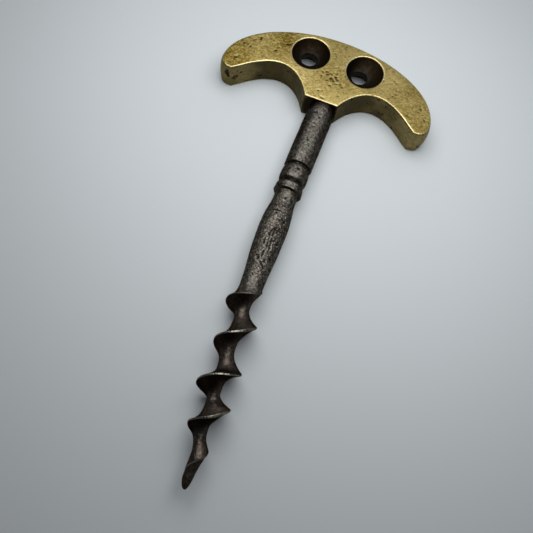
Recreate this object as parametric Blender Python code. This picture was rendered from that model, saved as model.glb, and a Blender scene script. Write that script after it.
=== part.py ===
"""Worm and handle half of a two-part lever corkscrew, lying on its back.

Two pieces: a cast brass handle with two countersunk eyes, and a steel shank forged in one with
its tang, its turned mouldings and its bladed worm. The tang passes up through the handle between
the eyes and is peened over in a countersink in the top edge.

Frame: metres. +Y runs along the shank towards the handle, +X across the handle, +Z out of the
handle's front face. The handle's back face lies on z = 0, and the origin is under the middle of
the whole object's box.
"""

import math

import bmesh
import bpy

MM = 0.001

# ---- driving dimensions -------------------------------------------------------------------
# Heights named _RISE and _DROP are measured along Y from the shoulder, the plane of the lower
# face of the handle's boss: rises go to the top of the handle, drops go down the shank.

SHOULDER_Y = 43.5 * MM          # where the shoulder plane lies in the object's frame
GAP = 0.3 * MM                  # clearance between the two pieces where they meet

# handle
HANDLE_HALF_WIDTH = 33.0 * MM
HANDLE_RISE = 24.4 * MM         # shoulder to the crown of the top edge, at the front face
HANDLE_THICKNESS = 8.4 * MM
EDGE_RADIUS = 0.45 * MM
EDGE_SEGMENTS = 3
OUTER_BULGE = 0.7 * MM          # the top and end walls swell out this far at mid-thickness
WALL_LEVELS = 5
CROWN_HANDLE = 16.6 * MM        # level run of the top curve at the crown
FLANK_HANDLE = 11.8 * MM        # upright run of the top curve at the arm's end
ARM_END_RISE = 4.3 * MM         # where the arm's end starts to turn under
ARM_TIP_RISE = 0.4 * MM         # lowest point of the arm
ARM_TIP_X = 29.5 * MM
ARM_INNER_X = 28.3 * MM
ARM_INNER_RISE = 1.05 * MM
ARM_TOE = 0.45 * MM             # rounds the arm's inner corner
BOSS_HALF_WIDTH = 5.25 * MM
RECESS_OUTER_X = 26.7 * MM      # control points of the finger recess under each arm
RECESS_OUTER_RISE = 1.6 * MM
RECESS_INNER_X = 14.4 * MM
RECESS_INNER_RISE = 17.9 * MM

# the two eyes
EYE_CENTRES_X = (-8.55 * MM, 9.25 * MM)
EYE_RISE = 15.75 * MM
EYE_FRONT_RADIUS = 6.1 * MM
EYE_WAIST_RADIUS = 2.65 * MM
EYE_BACK_RADIUS = 5.0 * MM
EYE_WAIST_HEIGHT = 5.4 * MM     # above the back face
EYE_BOWL_POWER = 0.75           # under 1: the front bowl is cupped and flattens at the waist
EYE_FLARE_POWER = 1.25          # over 1: the back side flares out from a rounded waist
EYE_LIP = 0.2 * MM              # each rim is broken by a chamfer of this size
EYE_OVERSHOOT = 1.0 * MM        # how far the cutter stands proud of each face
EYE_SIDES = 40
EYE_RINGS = 6                   # rings of the cutter on each side of the waist

# tang and its bore
SHANK_OFFSET = 1.1 * MM         # the shank stands this far to the right of the handle's middle
TANG_RADIUS = 2.5 * MM
TANG_HEAD_RADIUS = 3.2 * MM
TANG_HEAD_DEPTH = 1.2 * MM
TANG_HEAD_INSET = 0.45 * MM     # peened end below the crown
BORE_SIDES = 24

# shank
RING_POINTS = 24                # points round each section of the shank
BEND_START = 19.5 * MM          # drop at which the shank begins to bend to the right
BEND_RATE = 0.53                # sideways bend per square metre of run
KINK = 0.5 * MM                 # extra sideways kink just above the point
KINK_DROP = 106.0 * MM
KINK_LENGTH = 3.0 * MM
LEAN_RISE = 1.3 * MM            # how far the point end has lifted off the handle's middle plane
LEAN_LENGTH = 112.0 * MM

# (drop, radius) in mm down the turned part, from the shoulder to the start of the worm
TURNED_PROFILE = (
    (0.3, 4.00), (0.55, 4.15), (7.0, 4.15), (14.0, 4.14), (21.8, 4.10), (22.35, 4.04),
    (22.5, 3.70), (22.85, 3.60), (23.2, 3.70), (24.1, 3.93), (25.4, 4.03), (26.7, 3.98),
    (27.7, 3.82), (28.2, 3.62), (28.6, 3.62), (28.9, 3.80), (29.9, 3.94), (31.0, 4.04),
    (31.5, 3.98), (31.7, 3.60), (32.0, 3.36), (32.8, 3.28), (34.2, 3.27), (35.6, 3.36),
    (37.4, 3.62), (39.2, 3.87), (41.2, 4.02), (43.6, 4.06), (46.6, 4.00), (49.6, 3.90),
    (52.4, 3.73), (55.0, 3.48), (57.4, 3.29), (59.6, 3.16), (61.6, 3.10),
)

# worm: the drop, in mm, at which the blade's hand-cut edge passes each quarter turn, starting
# at the right-hand side and then going by the front, the left and the back
QUARTER_TURN_DROPS = (
    61.7, 64.6, 66.8, 69.0, 71.2, 75.2, 77.9, 80.7, 83.6, 86.0, 89.0, 90.8, 92.4, 96.3, 98.7,
    101.0, 103.3, 105.9, 108.6,
)
HALF_TURN_RADII = (3.25, 5.15, 4.95, 4.50, 4.95, 5.15, 5.00, 3.90, 2.95, 1.55)
HALF_TURN_CORES = (1.75, 1.65, 1.55, 1.50, 1.48, 1.42, 1.36, 1.28, 1.22, 1.15)
TAPER_START_DROP = 108.6 * MM
POINT_DROP = 112.15 * MM
STATIONS_PER_QUARTER_TURN = 5
POINT_STATIONS = 6
EDGE_LAND = 0.02                # width of the blade's edge, as a share of half a turn
BACK_GAP = 0.03                 # the same share left at the groove's bottom
EDGE_CROWDING = 1.6             # crowds the section's points towards the blade's edge
GROOVE_POWER = 3.0              # shape of the groove's wall from the edge to the core
RUNOUT_POWER = 1.6              # the fuller wall above the first turn, where the bar flares out
RUNOUT_FROM, RUNOUT_TO = -0.7, -0.1   # half turns over which the first groove deepens


# ---- small helpers ------------------------------------------------------------------------

def clear_scene():
    for item in list(bpy.data.objects):
        bpy.data.objects.remove(item)


def link(name, mesh, material=None):
    item = bpy.data.objects.new(name, mesh)
    bpy.context.scene.collection.objects.link(item)
    if material:
        mesh.materials.append(material)
    return item


def metal(name, color, roughness, metallic=1.0):
    material = bpy.data.materials.new(name)
    material.use_nodes = True
    shader = material.node_tree.nodes["Principled BSDF"]
    shader.inputs["Base Color"].default_value = (*color, 1.0)
    shader.inputs["Roughness"].default_value = roughness
    shader.inputs["Metallic"].default_value = metallic
    return material


def smooth_step(value, low, high):
    t = min(1.0, max(0.0, (value - low) / (high - low)))
    return t * t * (3.0 - 2.0 * t)


def bezier(p0, p1, p2, p3, count):
    """Points of a cubic curve after its first point, the last one included."""
    points = []
    for i in range(1, count + 1):
        t = i / count
        s = 1.0 - t
        weights = (s * s * s, 3 * s * s * t, 3 * s * t * t, t * t * t)
        points.append(tuple(sum(w * p[k] for w, p in zip(weights, (p0, p1, p2, p3))) for k in (0, 1)))
    return points


def smooth_through(x, xs, ys):
    """Cubic curve through (xs, ys), with the slope at each knot taken from its neighbours."""
    x = min(max(x, xs[0]), xs[-1])
    i = max(k for k in range(len(xs) - 1) if xs[k] <= x)

    def slope(k):
        low, high = max(k - 1, 0), min(k + 1, len(xs) - 1)
        return (ys[high] - ys[low]) / (xs[high] - xs[low])

    run = xs[i + 1] - xs[i]
    t = (x - xs[i]) / run
    return ((2 * t ** 3 - 3 * t ** 2 + 1) * ys[i] + (t ** 3 - 2 * t ** 2 + t) * run * slope(i)
            + (3 * t ** 2 - 2 * t ** 3) * ys[i + 1] + (t ** 3 - t ** 2) * run * slope(i + 1))


def loft(rings, start, end):
    """Closed mesh through equal rings of points, with a fan to one point at each end."""
    mesh = bmesh.new()
    loops = [[mesh.verts.new(p) for p in ring] for ring in rings]
    count = len(rings[0])
    for low, high in zip(loops, loops[1:]):
        for i in range(count):
            j = (i + 1) % count
            mesh.faces.new((low[i], low[j], high[j], high[i]))
    for loop, tip in ((loops[0], mesh.verts.new(start)), (loops[-1], mesh.verts.new(end))):
        for i in range(count):
            mesh.faces.new((loop[i], loop[(i + 1) % count], tip))
    bmesh.ops.recalc_face_normals(mesh, faces=mesh.faces)
    return mesh


def finish_mesh(mesh, name, sharp_degrees):
    data = bpy.data.meshes.new(name)
    mesh.to_mesh(data)
    mesh.free()
    data.shade_smooth()
    data.set_sharp_from_angle(angle=math.radians(sharp_degrees))
    return data


# ---- handle -------------------------------------------------------------------------------

def handle_half_outline():
    """Right half of the outline from the crown round to the boss: (x, y, bulge of the wall)."""
    rise = lambda value: SHOULDER_Y + value
    crown = (0.0, rise(HANDLE_RISE))
    arm_end = (HANDLE_HALF_WIDTH, rise(ARM_END_RISE))
    turn = (HANDLE_HALF_WIDTH, rise(ARM_TIP_RISE))
    arm_tip = (ARM_TIP_X, rise(ARM_TIP_RISE))
    toe = (ARM_INNER_X + ARM_TOE, rise(ARM_TIP_RISE))
    inner = (ARM_INNER_X, rise(ARM_INNER_RISE))
    boss = (BOSS_HALF_WIDTH, rise(0.0))
    outer = [crown] + bezier(crown, (CROWN_HANDLE, crown[1]),
                             (HANDLE_HALF_WIDTH, arm_end[1] + FLANK_HANDLE), arm_end, 20)
    under = bezier(arm_end, tuple((a + 2 * b) / 3 for a, b in zip(arm_end, turn)),
                   tuple((a + 2 * b) / 3 for a, b in zip(arm_tip, turn)), arm_tip, 6)
    corner = bezier(arm_tip, toe, toe, inner, 4)
    recess = bezier(inner, (RECESS_OUTER_X, rise(RECESS_OUTER_RISE)),
                    (RECESS_INNER_X, rise(RECESS_INNER_RISE)), boss, 22)
    points = [(x, y, OUTER_BULGE) for x, y in outer]
    points += [(x, y, OUTER_BULGE * (1.0 - (i + 1) / len(under))) for i, (x, y) in enumerate(under)]
    return points + [(x, y, 0.0) for x, y in corner + recess]


def outward_miters(points):
    """For each corner of a clockwise outline, the step that moves both its sides out by one."""
    steps = []
    for i, here in enumerate(points):
        sides = []
        for a, b in ((points[i - 1], here), (here, points[(i + 1) % len(points)])):
            dx, dy = b[0] - a[0], b[1] - a[1]
            length = math.hypot(dx, dy)
            sides.append((-dy / length, dx / length))
        (ax, ay), (bx, by) = sides
        scale = 1.0 / (1.0 + ax * bx + ay * by)
        steps.append(((ax + bx) * scale, (ay + by) * scale))
    return steps


def handle_blank():
    """Stack of offset outlines: rounded edge, swelling wall, rounded edge, and a flat cap."""
    half = handle_half_outline()
    outline = half + [(-x, y, bulge) for x, y, bulge in half[:0:-1]]
    steps = outward_miters(outline)
    edge = [(EDGE_RADIUS * (math.sin(a) - 1.0), EDGE_RADIUS * (1.0 - math.cos(a)))
            for a in (0.5 * math.pi * k / EDGE_SEGMENTS for k in range(EDGE_SEGMENTS + 1))]
    wall_low, wall_high = EDGE_RADIUS, HANDLE_THICKNESS - EDGE_RADIUS
    wall = [(0.0, wall_low + (wall_high - wall_low) * k / (WALL_LEVELS + 1))
            for k in range(1, WALL_LEVELS + 1)]
    levels = edge + wall + [(inset, HANDLE_THICKNESS - z) for inset, z in reversed(edge)]
    mesh = bmesh.new()
    loops = []
    for offset, z in levels:
        swell = 1.0 - (2.0 * z / HANDLE_THICKNESS - 1.0) ** 2
        loops.append([mesh.verts.new((x + sx * (offset + bulge * swell),
                                      y + sy * (offset + bulge * swell), z))
                      for (x, y, bulge), (sx, sy) in zip(outline, steps)])
    for low, high in zip(loops, loops[1:]):
        for i in range(len(low)):
            j = (i + 1) % len(low)
            mesh.faces.new((low[i], low[j], high[j], high[i]))
    mesh.faces.new(loops[0])
    mesh.faces.new(loops[-1])
    bmesh.ops.recalc_face_normals(mesh, faces=mesh.faces)
    return mesh


def eye_cutter(x):
    """Hourglass plug: wide at both faces of the handle, narrowest at the waist between them."""
    low, high = EYE_LIP, HANDLE_THICKNESS - EYE_LIP
    rings = []
    for k in range(-EYE_RINGS, EYE_RINGS + 1):
        share = (abs(k) / EYE_RINGS) ** 1.3
        rim, power, face = (EYE_BACK_RADIUS, EYE_FLARE_POWER, low)
        if k > 0:
            rim, power, face = (EYE_FRONT_RADIUS, EYE_BOWL_POWER, high)
        radius = EYE_WAIST_RADIUS + (rim - EYE_WAIST_RADIUS) * share ** power
        rings.append((radius, EYE_WAIST_HEIGHT + (face - EYE_WAIST_HEIGHT) * share))
    proud = EYE_LIP + EYE_OVERSHOOT
    top = HANDLE_THICKNESS + EYE_OVERSHOOT
    rings = [(EYE_BACK_RADIUS + proud, -EYE_OVERSHOOT)] + rings + [(EYE_FRONT_RADIUS + proud, top)]
    y = SHOULDER_Y + EYE_RISE
    angles = [2 * math.pi * i / EYE_SIDES for i in range(EYE_SIDES)]
    loops = [[(x + r * math.cos(a), y + r * math.sin(a), z) for a in angles] for r, z in rings]
    return loft(loops, (x, y, -EYE_OVERSHOOT), (x, y, top))


def bore_cutter():
    """Bore for the tang, with a countersink for its peened end at the crown."""
    crown = SHOULDER_Y + HANDLE_RISE
    head = crown - TANG_HEAD_INSET - TANG_HEAD_DEPTH
    profile = ((TANG_RADIUS + GAP, SHOULDER_Y - 1 * MM), (TANG_RADIUS + GAP, head),
               (TANG_HEAD_RADIUS + GAP, head + TANG_HEAD_DEPTH - 2 * GAP),
               (TANG_HEAD_RADIUS + GAP, crown + 1 * MM))
    z = HANDLE_THICKNESS / 2
    angles = [2 * math.pi * i / BORE_SIDES for i in range(BORE_SIDES)]
    loops = [[(SHANK_OFFSET + r * math.cos(a), y, z + r * math.sin(a)) for a in angles]
             for r, y in profile]
    return loft(loops, (SHANK_OFFSET, profile[0][1], z), (SHANK_OFFSET, profile[-1][1], z))


def build_handle(material):
    handle = link("handle", finish_mesh(handle_blank(), "handle", 14), material)
    cutters = [eye_cutter(x) for x in EYE_CENTRES_X] + [bore_cutter()]
    for i, cutter in enumerate(cutters):
        tool = link(f"cutter_{i}", finish_mesh(cutter, f"cutter_{i}", 25))
        tool.hide_render = True
        tool.display_type = "WIRE"
        cut = handle.modifiers.new(f"cut_{i}", "BOOLEAN")
        cut.operation = "DIFFERENCE"
        cut.solver = "EXACT"
        cut.object = tool
    return handle


# ---- shank and worm -----------------------------------------------------------------------

def axis_point(drop):
    """Centre of the shank's section at a drop, with its sideways bend and its lean."""
    run = max(0.0, drop - BEND_START)
    share = min(1.0, max(0.0, drop / LEAN_LENGTH))
    lean = LEAN_RISE * (1.0 - (1.0 - share) ** 2)
    kink = KINK * math.exp(-((drop - KINK_DROP) / KINK_LENGTH) ** 2)
    bend = BEND_RATE * run * run + kink
    return SHANK_OFFSET + bend, SHOULDER_Y - drop, HANDLE_THICKNESS / 2 + lean


def half_turn_at(drop):
    """How many half turns the blade's edge has made at a drop; below 0 above the worm."""
    drops = [d * MM for d in QUARTER_TURN_DROPS]
    if drop < drops[0]:
        return (drop - drops[0]) / (drops[2] - drops[0])
    return smooth_through(drop, drops, [0.5 * i for i in range(len(drops))])


def along_worm(half_turn, values):
    return smooth_through(half_turn, list(range(len(values))), values) * MM


def section_shares(crowded):
    """Places of a section's points: 0 at the blade's edge, 1 or -1 at the groove's bottom."""
    side = RING_POINTS // 2
    even = [(i + 0.5) / side for i in range(side)]
    span = 1.0 - EDGE_LAND - BACK_GAP
    close = [EDGE_LAND + span * (i / (side - 1)) ** EDGE_CROWDING for i in range(side)]
    shares = [a + (b - a) * crowded for a, b in zip(even, close)]
    return [-s for s in reversed(shares)] + shares


def worm_radius(share, half_turn, bar):
    """Radius at a share of half a turn from the edge; bar is the plain bar's radius there."""
    outer = along_worm(half_turn, HALF_TURN_RADII)
    core = along_worm(half_turn, HALF_TURN_CORES)
    edge_above = half_turn + share - (2.0 if share > 0 else 0.0)
    cut = smooth_step(edge_above, RUNOUT_FROM, RUNOUT_TO)
    base = bar + (core - bar) * cut
    power = RUNOUT_POWER + (GROOVE_POWER - RUNOUT_POWER) * cut
    near = max(0.0, (1.0 - abs(share)) / (1.0 - EDGE_LAND))
    return base + (outer - base) * min(1.0, near) ** power


def section(drop, crowded, radius_at):
    x, y, z = axis_point(drop)
    turn = math.pi * max(0.0, half_turn_at(drop))
    points = []
    for share in section_shares(crowded):
        angle = turn + math.pi * share
        radius = radius_at(share)
        points.append((x + radius * math.cos(angle), y, z + radius * math.sin(angle)))
    return points


def tang_rings():
    """Round rings from the peened end down the tang to the shoulder."""
    top = SHOULDER_Y + HANDLE_RISE - TANG_HEAD_INSET
    heights = ((TANG_HEAD_RADIUS - 0.5 * MM, top), (TANG_HEAD_RADIUS, top - 0.3 * MM),
               (TANG_RADIUS, top - TANG_HEAD_DEPTH), (TANG_RADIUS, SHOULDER_Y - GAP))
    rings = []
    for radius, y in heights:
        angles = [math.pi * share for share in section_shares(0.0)]
        rings.append([(SHANK_OFFSET + radius * math.cos(a), y,
                       HANDLE_THICKNESS / 2 + radius * math.sin(a)) for a in angles])
    return rings


def turned_rings():
    rings = []
    last_drop = TURNED_PROFILE[-1][0]
    for drop_mm, radius_mm in TURNED_PROFILE[:-1]:
        crowded = smooth_step(drop_mm, last_drop - 8.0, last_drop)
        rings.append(section(drop_mm * MM, crowded, lambda share, r=radius_mm: r * MM))
    return rings


def worm_rings():
    rings = []
    bar = TURNED_PROFILE[-1][1] * MM
    drops = [d * MM for d in QUARTER_TURN_DROPS]
    for start, end in zip(drops, drops[1:]):
        for k in range(STATIONS_PER_QUARTER_TURN):
            drop = start + (end - start) * k / STATIONS_PER_QUARTER_TURN
            turn = half_turn_at(drop)
            rings.append(section(drop, 1.0, lambda share, t=turn: worm_radius(share, t, bar)))
    return rings


def point_rings():
    """The last stretch closes in from the worm's end section to a blunt point."""
    rings = []
    last = len(HALF_TURN_RADII) - 1
    for k in range(POINT_STATIONS):
        t = k / POINT_STATIONS
        drop = TAPER_START_DROP + (POINT_DROP - TAPER_START_DROP) * t
        narrow = math.sqrt(1.0 - t ** 2.5)
        rings.append(section(drop, 1.0, lambda share, n=narrow: n * worm_radius(share, last, 0.0)))
    return rings


def build_shank(material):
    rings = tang_rings() + turned_rings() + worm_rings() + point_rings()
    top = (SHANK_OFFSET, SHOULDER_Y + HANDLE_RISE - TANG_HEAD_INSET + 0.1 * MM,
           HANDLE_THICKNESS / 2)
    mesh = loft(rings, top, axis_point(POINT_DROP))
    return link("shank", finish_mesh(mesh, "shank", 40), material)


clear_scene()
build_handle(metal("brass", (0.45, 0.33, 0.12), 0.38))
build_shank(metal("steel", (0.12, 0.105, 0.095), 0.5))
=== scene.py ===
"""Looks of the worm and handle half of a two-part lever corkscrew.

Two detailed pieces stand for the two CAD nodes: handle_casting for the brass handle and
shank_forging for the steel shank. Both are meshes made here from the part's own driving
dimensions. Pits, furrows and uneven surfaces are in the mesh, and finer grain and scratches are
bump in the materials. Lengths are in millimetres in the mesh code, and in metres for the floor,
the lights, the camera and the finished meshes.
"""

import math

import bmesh
import bpy
import numpy as np
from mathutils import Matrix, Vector


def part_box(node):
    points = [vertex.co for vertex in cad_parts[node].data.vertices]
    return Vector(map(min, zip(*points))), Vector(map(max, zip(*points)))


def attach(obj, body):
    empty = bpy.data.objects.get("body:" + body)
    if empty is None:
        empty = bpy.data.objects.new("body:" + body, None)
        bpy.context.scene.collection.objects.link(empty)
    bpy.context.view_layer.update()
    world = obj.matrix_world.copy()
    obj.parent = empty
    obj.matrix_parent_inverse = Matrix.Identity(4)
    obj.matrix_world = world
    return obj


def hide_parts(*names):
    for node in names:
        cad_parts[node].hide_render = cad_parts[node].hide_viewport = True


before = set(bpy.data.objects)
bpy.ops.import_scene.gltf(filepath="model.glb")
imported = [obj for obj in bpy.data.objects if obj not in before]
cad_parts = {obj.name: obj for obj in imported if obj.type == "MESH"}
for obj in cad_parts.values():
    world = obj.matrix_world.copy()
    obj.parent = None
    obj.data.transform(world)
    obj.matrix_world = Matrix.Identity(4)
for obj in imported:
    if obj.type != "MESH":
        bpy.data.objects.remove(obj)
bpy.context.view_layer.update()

MM = 0.001

# ---- driving dimensions, in mm ----
# Rises and drops are measured along Y from the shoulder, the plane of the boss's lower face.

HANDLE_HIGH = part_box("handle")[1] / MM
HANDLE_RISE = 24.4
BULGE = 0.7                                   # swell of the top and end walls at mid-thickness
SHOULDER_Y = HANDLE_HIGH.y - BULGE - HANDLE_RISE
THICKNESS = HANDLE_HIGH.z
HALF_WIDTH = HANDLE_HIGH.x - BULGE
MIDDLE_Z = THICKNESS / 2
EDGE_RADIUS = 0.45
BOSS_HALF_WIDTH = 5.25
# knots and leads of the outline's right half, as (x, rise), from the crown round to the boss
CROWN, CROWN_LEAD = (0.0, HANDLE_RISE), (16.6, HANDLE_RISE)
ARM_LEAD, ARM_END = (HALF_WIDTH, 16.1), (HALF_WIDTH, 4.3)
ARM_TURN, ARM_TIP = (HALF_WIDTH, 0.4), (29.5, 0.4)
ARM_TOE, ARM_INNER = (28.75, 0.4), (28.3, 1.05)
RECESS_LEADS, BOSS_CORNER = ((26.7, 1.6), (14.4, 17.9)), (BOSS_HALF_WIDTH, 0.0)
EYE_CENTRES_X, EYE_RISE = (-8.55, 9.15), 15.9
EYE_FRONT, EYE_WAIST, EYE_BACK = 6.1, 2.4, 5.0   # radii at the faces and between them
EYE_SQUASH = (0.97, 0.945)                    # each bowl's width as a share of its height
EYE_DRIFT = ((-0.25, 0.1), (-1.15, -0.2))     # how far each hole is drilled off its bowl
EYE_WAIST_Z = 5.4
EYE_BOWL_POWER, EYE_FLARE_POWER = 0.75, 1.25  # under 1 cups the bowl, over 1 flares the back
EYE_LIP = 0.2                                 # chamfer round each rim
TANG_RADIUS, TANG_HEAD_RADIUS, TANG_HEAD_DEPTH, TANG_HEAD_INSET = 2.5, 3.2, 1.2, 0.45
PEEN_RINGS, PEEN_RISE = (0.15, 0.4, 0.65, 0.85), 0.12     # shares of the head, and its dome
PEEN_SIDE = (0.15, 0.4)                       # the head's straight side, below its top
GAP = 0.3                                     # between the tang and its bore
PROUD = 1.0                                   # how far the cutters stand out of the casting
SHANK_X = 1.1                                 # the shank stands this far right of the middle
BEND_START, BEND_RATE = 19.5, 0.00053         # sideways bend, by the square of the run
KINK, KINK_DROP, KINK_LENGTH = 0.5, 106.0, 3.0    # small sideways kink above the point
LEAN_RISE, LEAN_LENGTH = 1.3, 112.0           # how far the point end lifts off the floor

# (drop, radius) down the turned part: the cylinder, the bead, the ring and the baluster
TURNED = np.array((
    (0.05, 3.7), (0.12, 4.02), (0.3, 4.14), (0.55, 4.15), (7.0, 4.15), (13.1, 4.14),
    (13.25, 4.08), (13.4, 4.14), (21.6, 4.1), (22.3, 4.08), (22.42, 4.02), (22.48, 3.5),
    (22.62, 3.25), (22.9, 3.28), (23.2, 3.6), (23.8, 3.86), (25.0, 4.02), (26.9, 3.99),
    (27.7, 3.84), (28.3, 3.42), (28.75, 3.08), (29.08, 3.04), (29.22, 3.65), (29.45, 3.93),
    (30.3, 4.01), (31.2, 4.09), (31.6, 4.05), (31.7, 3.6), (31.95, 3.25), (32.8, 3.28),
    (34.2, 3.27), (35.6, 3.36), (37.4, 3.62), (39.2, 3.87), (41.2, 4.02),
    (43.6, 4.06), (46.6, 4.00), (49.6, 3.9), (52.4, 3.73), (55.0, 3.48), (57.4, 3.29),
    (59.6, 3.16), (61.6, 3.1),
))

# drops at which the blade's edge passes each quarter turn, from the right-hand side by the front
QUARTER_DROPS = np.array((
    61.7, 64.6, 66.8, 69.0, 71.2, 75.2, 77.9, 80.7, 83.6, 86.0, 89.0, 90.8, 92.4, 96.3, 98.7,
    101.0, 103.3, 105.9, 108.6,
))
# radii of the blade's edge and of the core at each half turn
HALF_TURN_RADII = np.array((3.25, 5.15, 4.95, 4.5, 4.95, 5.15, 5.00, 3.9, 2.7, 1.35))
HALF_TURN_CORES = np.array((1.75, 1.65, 1.55, 1.5, 1.48, 1.42, 1.36, 1.28, 1.22, 1.15))
POINT_DROP = 112.15
BLADE_POWER, RUNOUT_POWER = 3.0, 1.6          # how sharply the blade rises from the core
POINT_POWER, POINT_BLEND = 1.5, (7.3, 8.5)    # it rises more roundly over these half turns
LAND = 0.036                                  # half the blade's edge, as a share of half a turn
RUNOUT_FROM, RUNOUT_TO = -0.7, -0.1           # half turns over which the groove cuts in
# short furrows in the front of the baluster, each as (sideways from the axis, drop) knots
FURROWS = (
    ((0.64, 44.3), (0.08, 45.4), (-0.11, 46.8), (0.0, 47.8)),
    ((1.37, 44.0), (0.88, 45.2), (0.76, 46.5), (0.74, 47.4)),
    ((2.09, 43.9), (1.62, 45.3), (1.44, 46.4)),
    ((0.07, 47.8), (0.14, 49.1), (0.34, 50.4), (0.4, 51.5)),
    ((0.84, 47.7), (0.88, 49.0), (1.07, 50.3), (1.21, 51.3)),
    ((-0.86, 48.1), (-0.84, 49.3), (-0.64, 50.4)),
    ((-0.11, 51.6), (0.01, 52.8), (-0.05, 53.9)),
    ((1.13, 41.0), (1.98, 41.8), (2.83, 41.9)),
    ((-2.25, 39.5), (-0.56, 39.4), (1.08, 39.5)),
    ((-0.28, 54.7), (0.66, 55.6), (1.45, 56.5)),
)
FURROW_WIDTH, FURROW_DEPTH = 0.28, 0.035
FURROW_SAMPLES, FURROW_ENDS = 10, (-0.2, 0.5)  # dents per knot, and the fade at each end

# ---- mesh density ----

VOXEL = 0.226              # keeps the handle under 200,000 triangles
AROUND = 96                  # points round each section of the shank
STATION_STEP = 0.17         # between sections of the shank
FLANK_CARE = 2.5                              # extra stations where the turned radius changes
OUTER_COUNT, UNDER_COUNT, CORNER_COUNT, RECESS_COUNT = 70, 16, 6, 70  # points of the outline
EDGE_STEPS, WALL_STEPS = 4, 14                # rings over the edge round and up the wall
EYE_SIDES, BORE_SIDES, EYE_RINGS = 96, 64, 16     # rings on each side of the eye's waist
EYE_CROWDING = 1.3                            # over 1: the eye's rings crowd to its waist
TANG_RINGS, TANG_END, END_DOME = 12, 0.02, 0.02     # the tang ends just below the shoulder
TURNED_SAMPLES = 8000                         # along the turned part, to place its sections
WORM_STEP = 0.75 * STATION_STEP               # between sections of the worm
CROWDING_LENGTH = 8.0                         # above the worm, where its crowded sections begin
CLOSEST, CROWDING = 0.006, 1.5                # a section's points crowd to the blade's edge
POINT_STATIONS = 25

# ---- surface ----
# Unevenness is given as layers of (amplitude, wavelength, seed).

CAST_RELIEF = ((0.05, 9.0, 1), (0.03, 3.6, 2), (0.012, 1.3, 3), (0.006, 0.55, 4))
WALL_RELIEF = ((0.03, 1.1, 5),)
TURNED_RELIEF = ((0.03, 2.6, 21), (0.03, 1.1, 22), (0.016, 0.55, 23))
WORM_RELIEF = ((0.04, 2.2, 24), (0.008, 0.7, 25))
BALUSTER_RELIEF = ((0.036, 0.6, 28),)
EDGE_WEAR_AND_HIGHLIGHT, EDGE_WEAR_AND_HIGHLIGHT_NOISE = 0.75, ((0.5, 4.0, 8),)
LAND_WEAR, LAND_WEAR_NOISE = 0.75, ((0.5, 1.6, 27),)
GRIME_AND_SHADE_NOISE, TARNISH_NOISE = ((0.25, 3.0, 6),), ((0.42, 7.0, 7),)

# Bands are (low, high): a mask fades in, or out, between the two.
# Tilt is 0 on the handle's faces and 1 on its walls.
SIDE_TILT = (0.25, 0.8)
EDGE_TILT_IN, EDGE_TILT_OUT = (0.015, 0.055), (0.25, 0.5)
BOWL_MARGIN, BOWL_FADE = 0.2, 0.18           # round each eye's rim
STAIN_AND_SHADE_BAND, STAIN_AND_SHADE_MARGIN = (5.6, 7.4), 0.3      # from the shank's axis, and round the boss
# (weight, band): grime and painted shade fall off towards the arms' ends, the crown and the right
GRIME_AND_SHADE_BY_REACH, GRIME_AND_SHADE_BY_RISE = (0.85, (20.0, 27.0)), (0.35, (14.0, 20.0))
GRIME_AND_SHADE_BY_X = (0.25, (10.0, 16.0))
# tarnish rises to the left and to the right
TARNISH, TARNISH_LEFT, TARNISH_RIGHT = 0.42, (0.45, (6.0, 20.0)), (0.3, (12.0, 26.0))

# bands of drops over which each stretch of the shank fades in or out
TURNED_IN, TURNED_OUT = (0.5, 1.5), (58.0, 63.0)
BALUSTER_IN, BALUSTER_OUT = (31.8, 37.0), (57.0, 62.5)
WORM_IN, BLADE_IN, LAND_IN = (60.0, 64.0), (62.5, 69.0), (63.0, 70.0)
RELIEF_IN, RELIEF_OUT, POINT_RELIEF = (-0.2, 0.6), (111.0, 112.1), 0.3
UNDERSIDE_SHADE_IN, UNDERSIDE_SHADE_OUT, UNDERSIDE_SHADE_POINT = (1.0, 3.0), (103.0, 107.0), 0.4
RUST_AND_SHADE_IN, RUST_AND_SHADE_OUT = (-22.0, -20.0), (0.8, 3.2)
# bands of the surface's direction for the painted underside shade: down the shank, and up from
# the floor
DOWNWARD, UPWARD, UNDERSIDE_SHADE_BELOW = (0.2, 0.75), (0.0, 0.5), 0.4
LAND_BAND = (0.7 * LAND, 1.5 * LAND)          # share from the blade's edge
RIDGE_BEND, HOLLOW_DIRT_AND_SHADE_BEND = (0.5, 2.2), (0.15, 0.9)     # curvature, per mm

CRISP_FLAT, CRISP_GAIN = 0.5, 0.25            # of the attribute for fine curvature

# pits: how many radii a dent reaches, and how steeply it falls off
DENT_REACH, DENT_FALL = 2.2, 1.6
HANDLE_SEED, HANDLE_PIT_SHARE = 11, 0.65      # share of the pits' depth that is kept
PLACED_PIT_SPREAD = 1.1                       # the placed pits' radii are listed without it
HANDLE_PIT_DEPTHS, SHANK_PIT_DEPTHS = (0.025, 0.13), (0.02, 0.1)
FURROW_DARKNESS = 1.2                         # beside a pit of the same depth
SHANK_SEED, SHANK_PITS, SHANK_PIT_DROPS = 31, 700, (0.5, 60.0)
SHANK_PIT_RADIUS, SHANK_PIT_MORE, SHANK_PIT_POWER = 0.16, 0.34, 2.5
SHANK_PIT_DEPTH = 0.35                        # per radius
PIT_POWER, PIT_DEPTHS, PIT_STRETCHES = 3, (0.5, 1.2), (1.0, 2.0)
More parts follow.
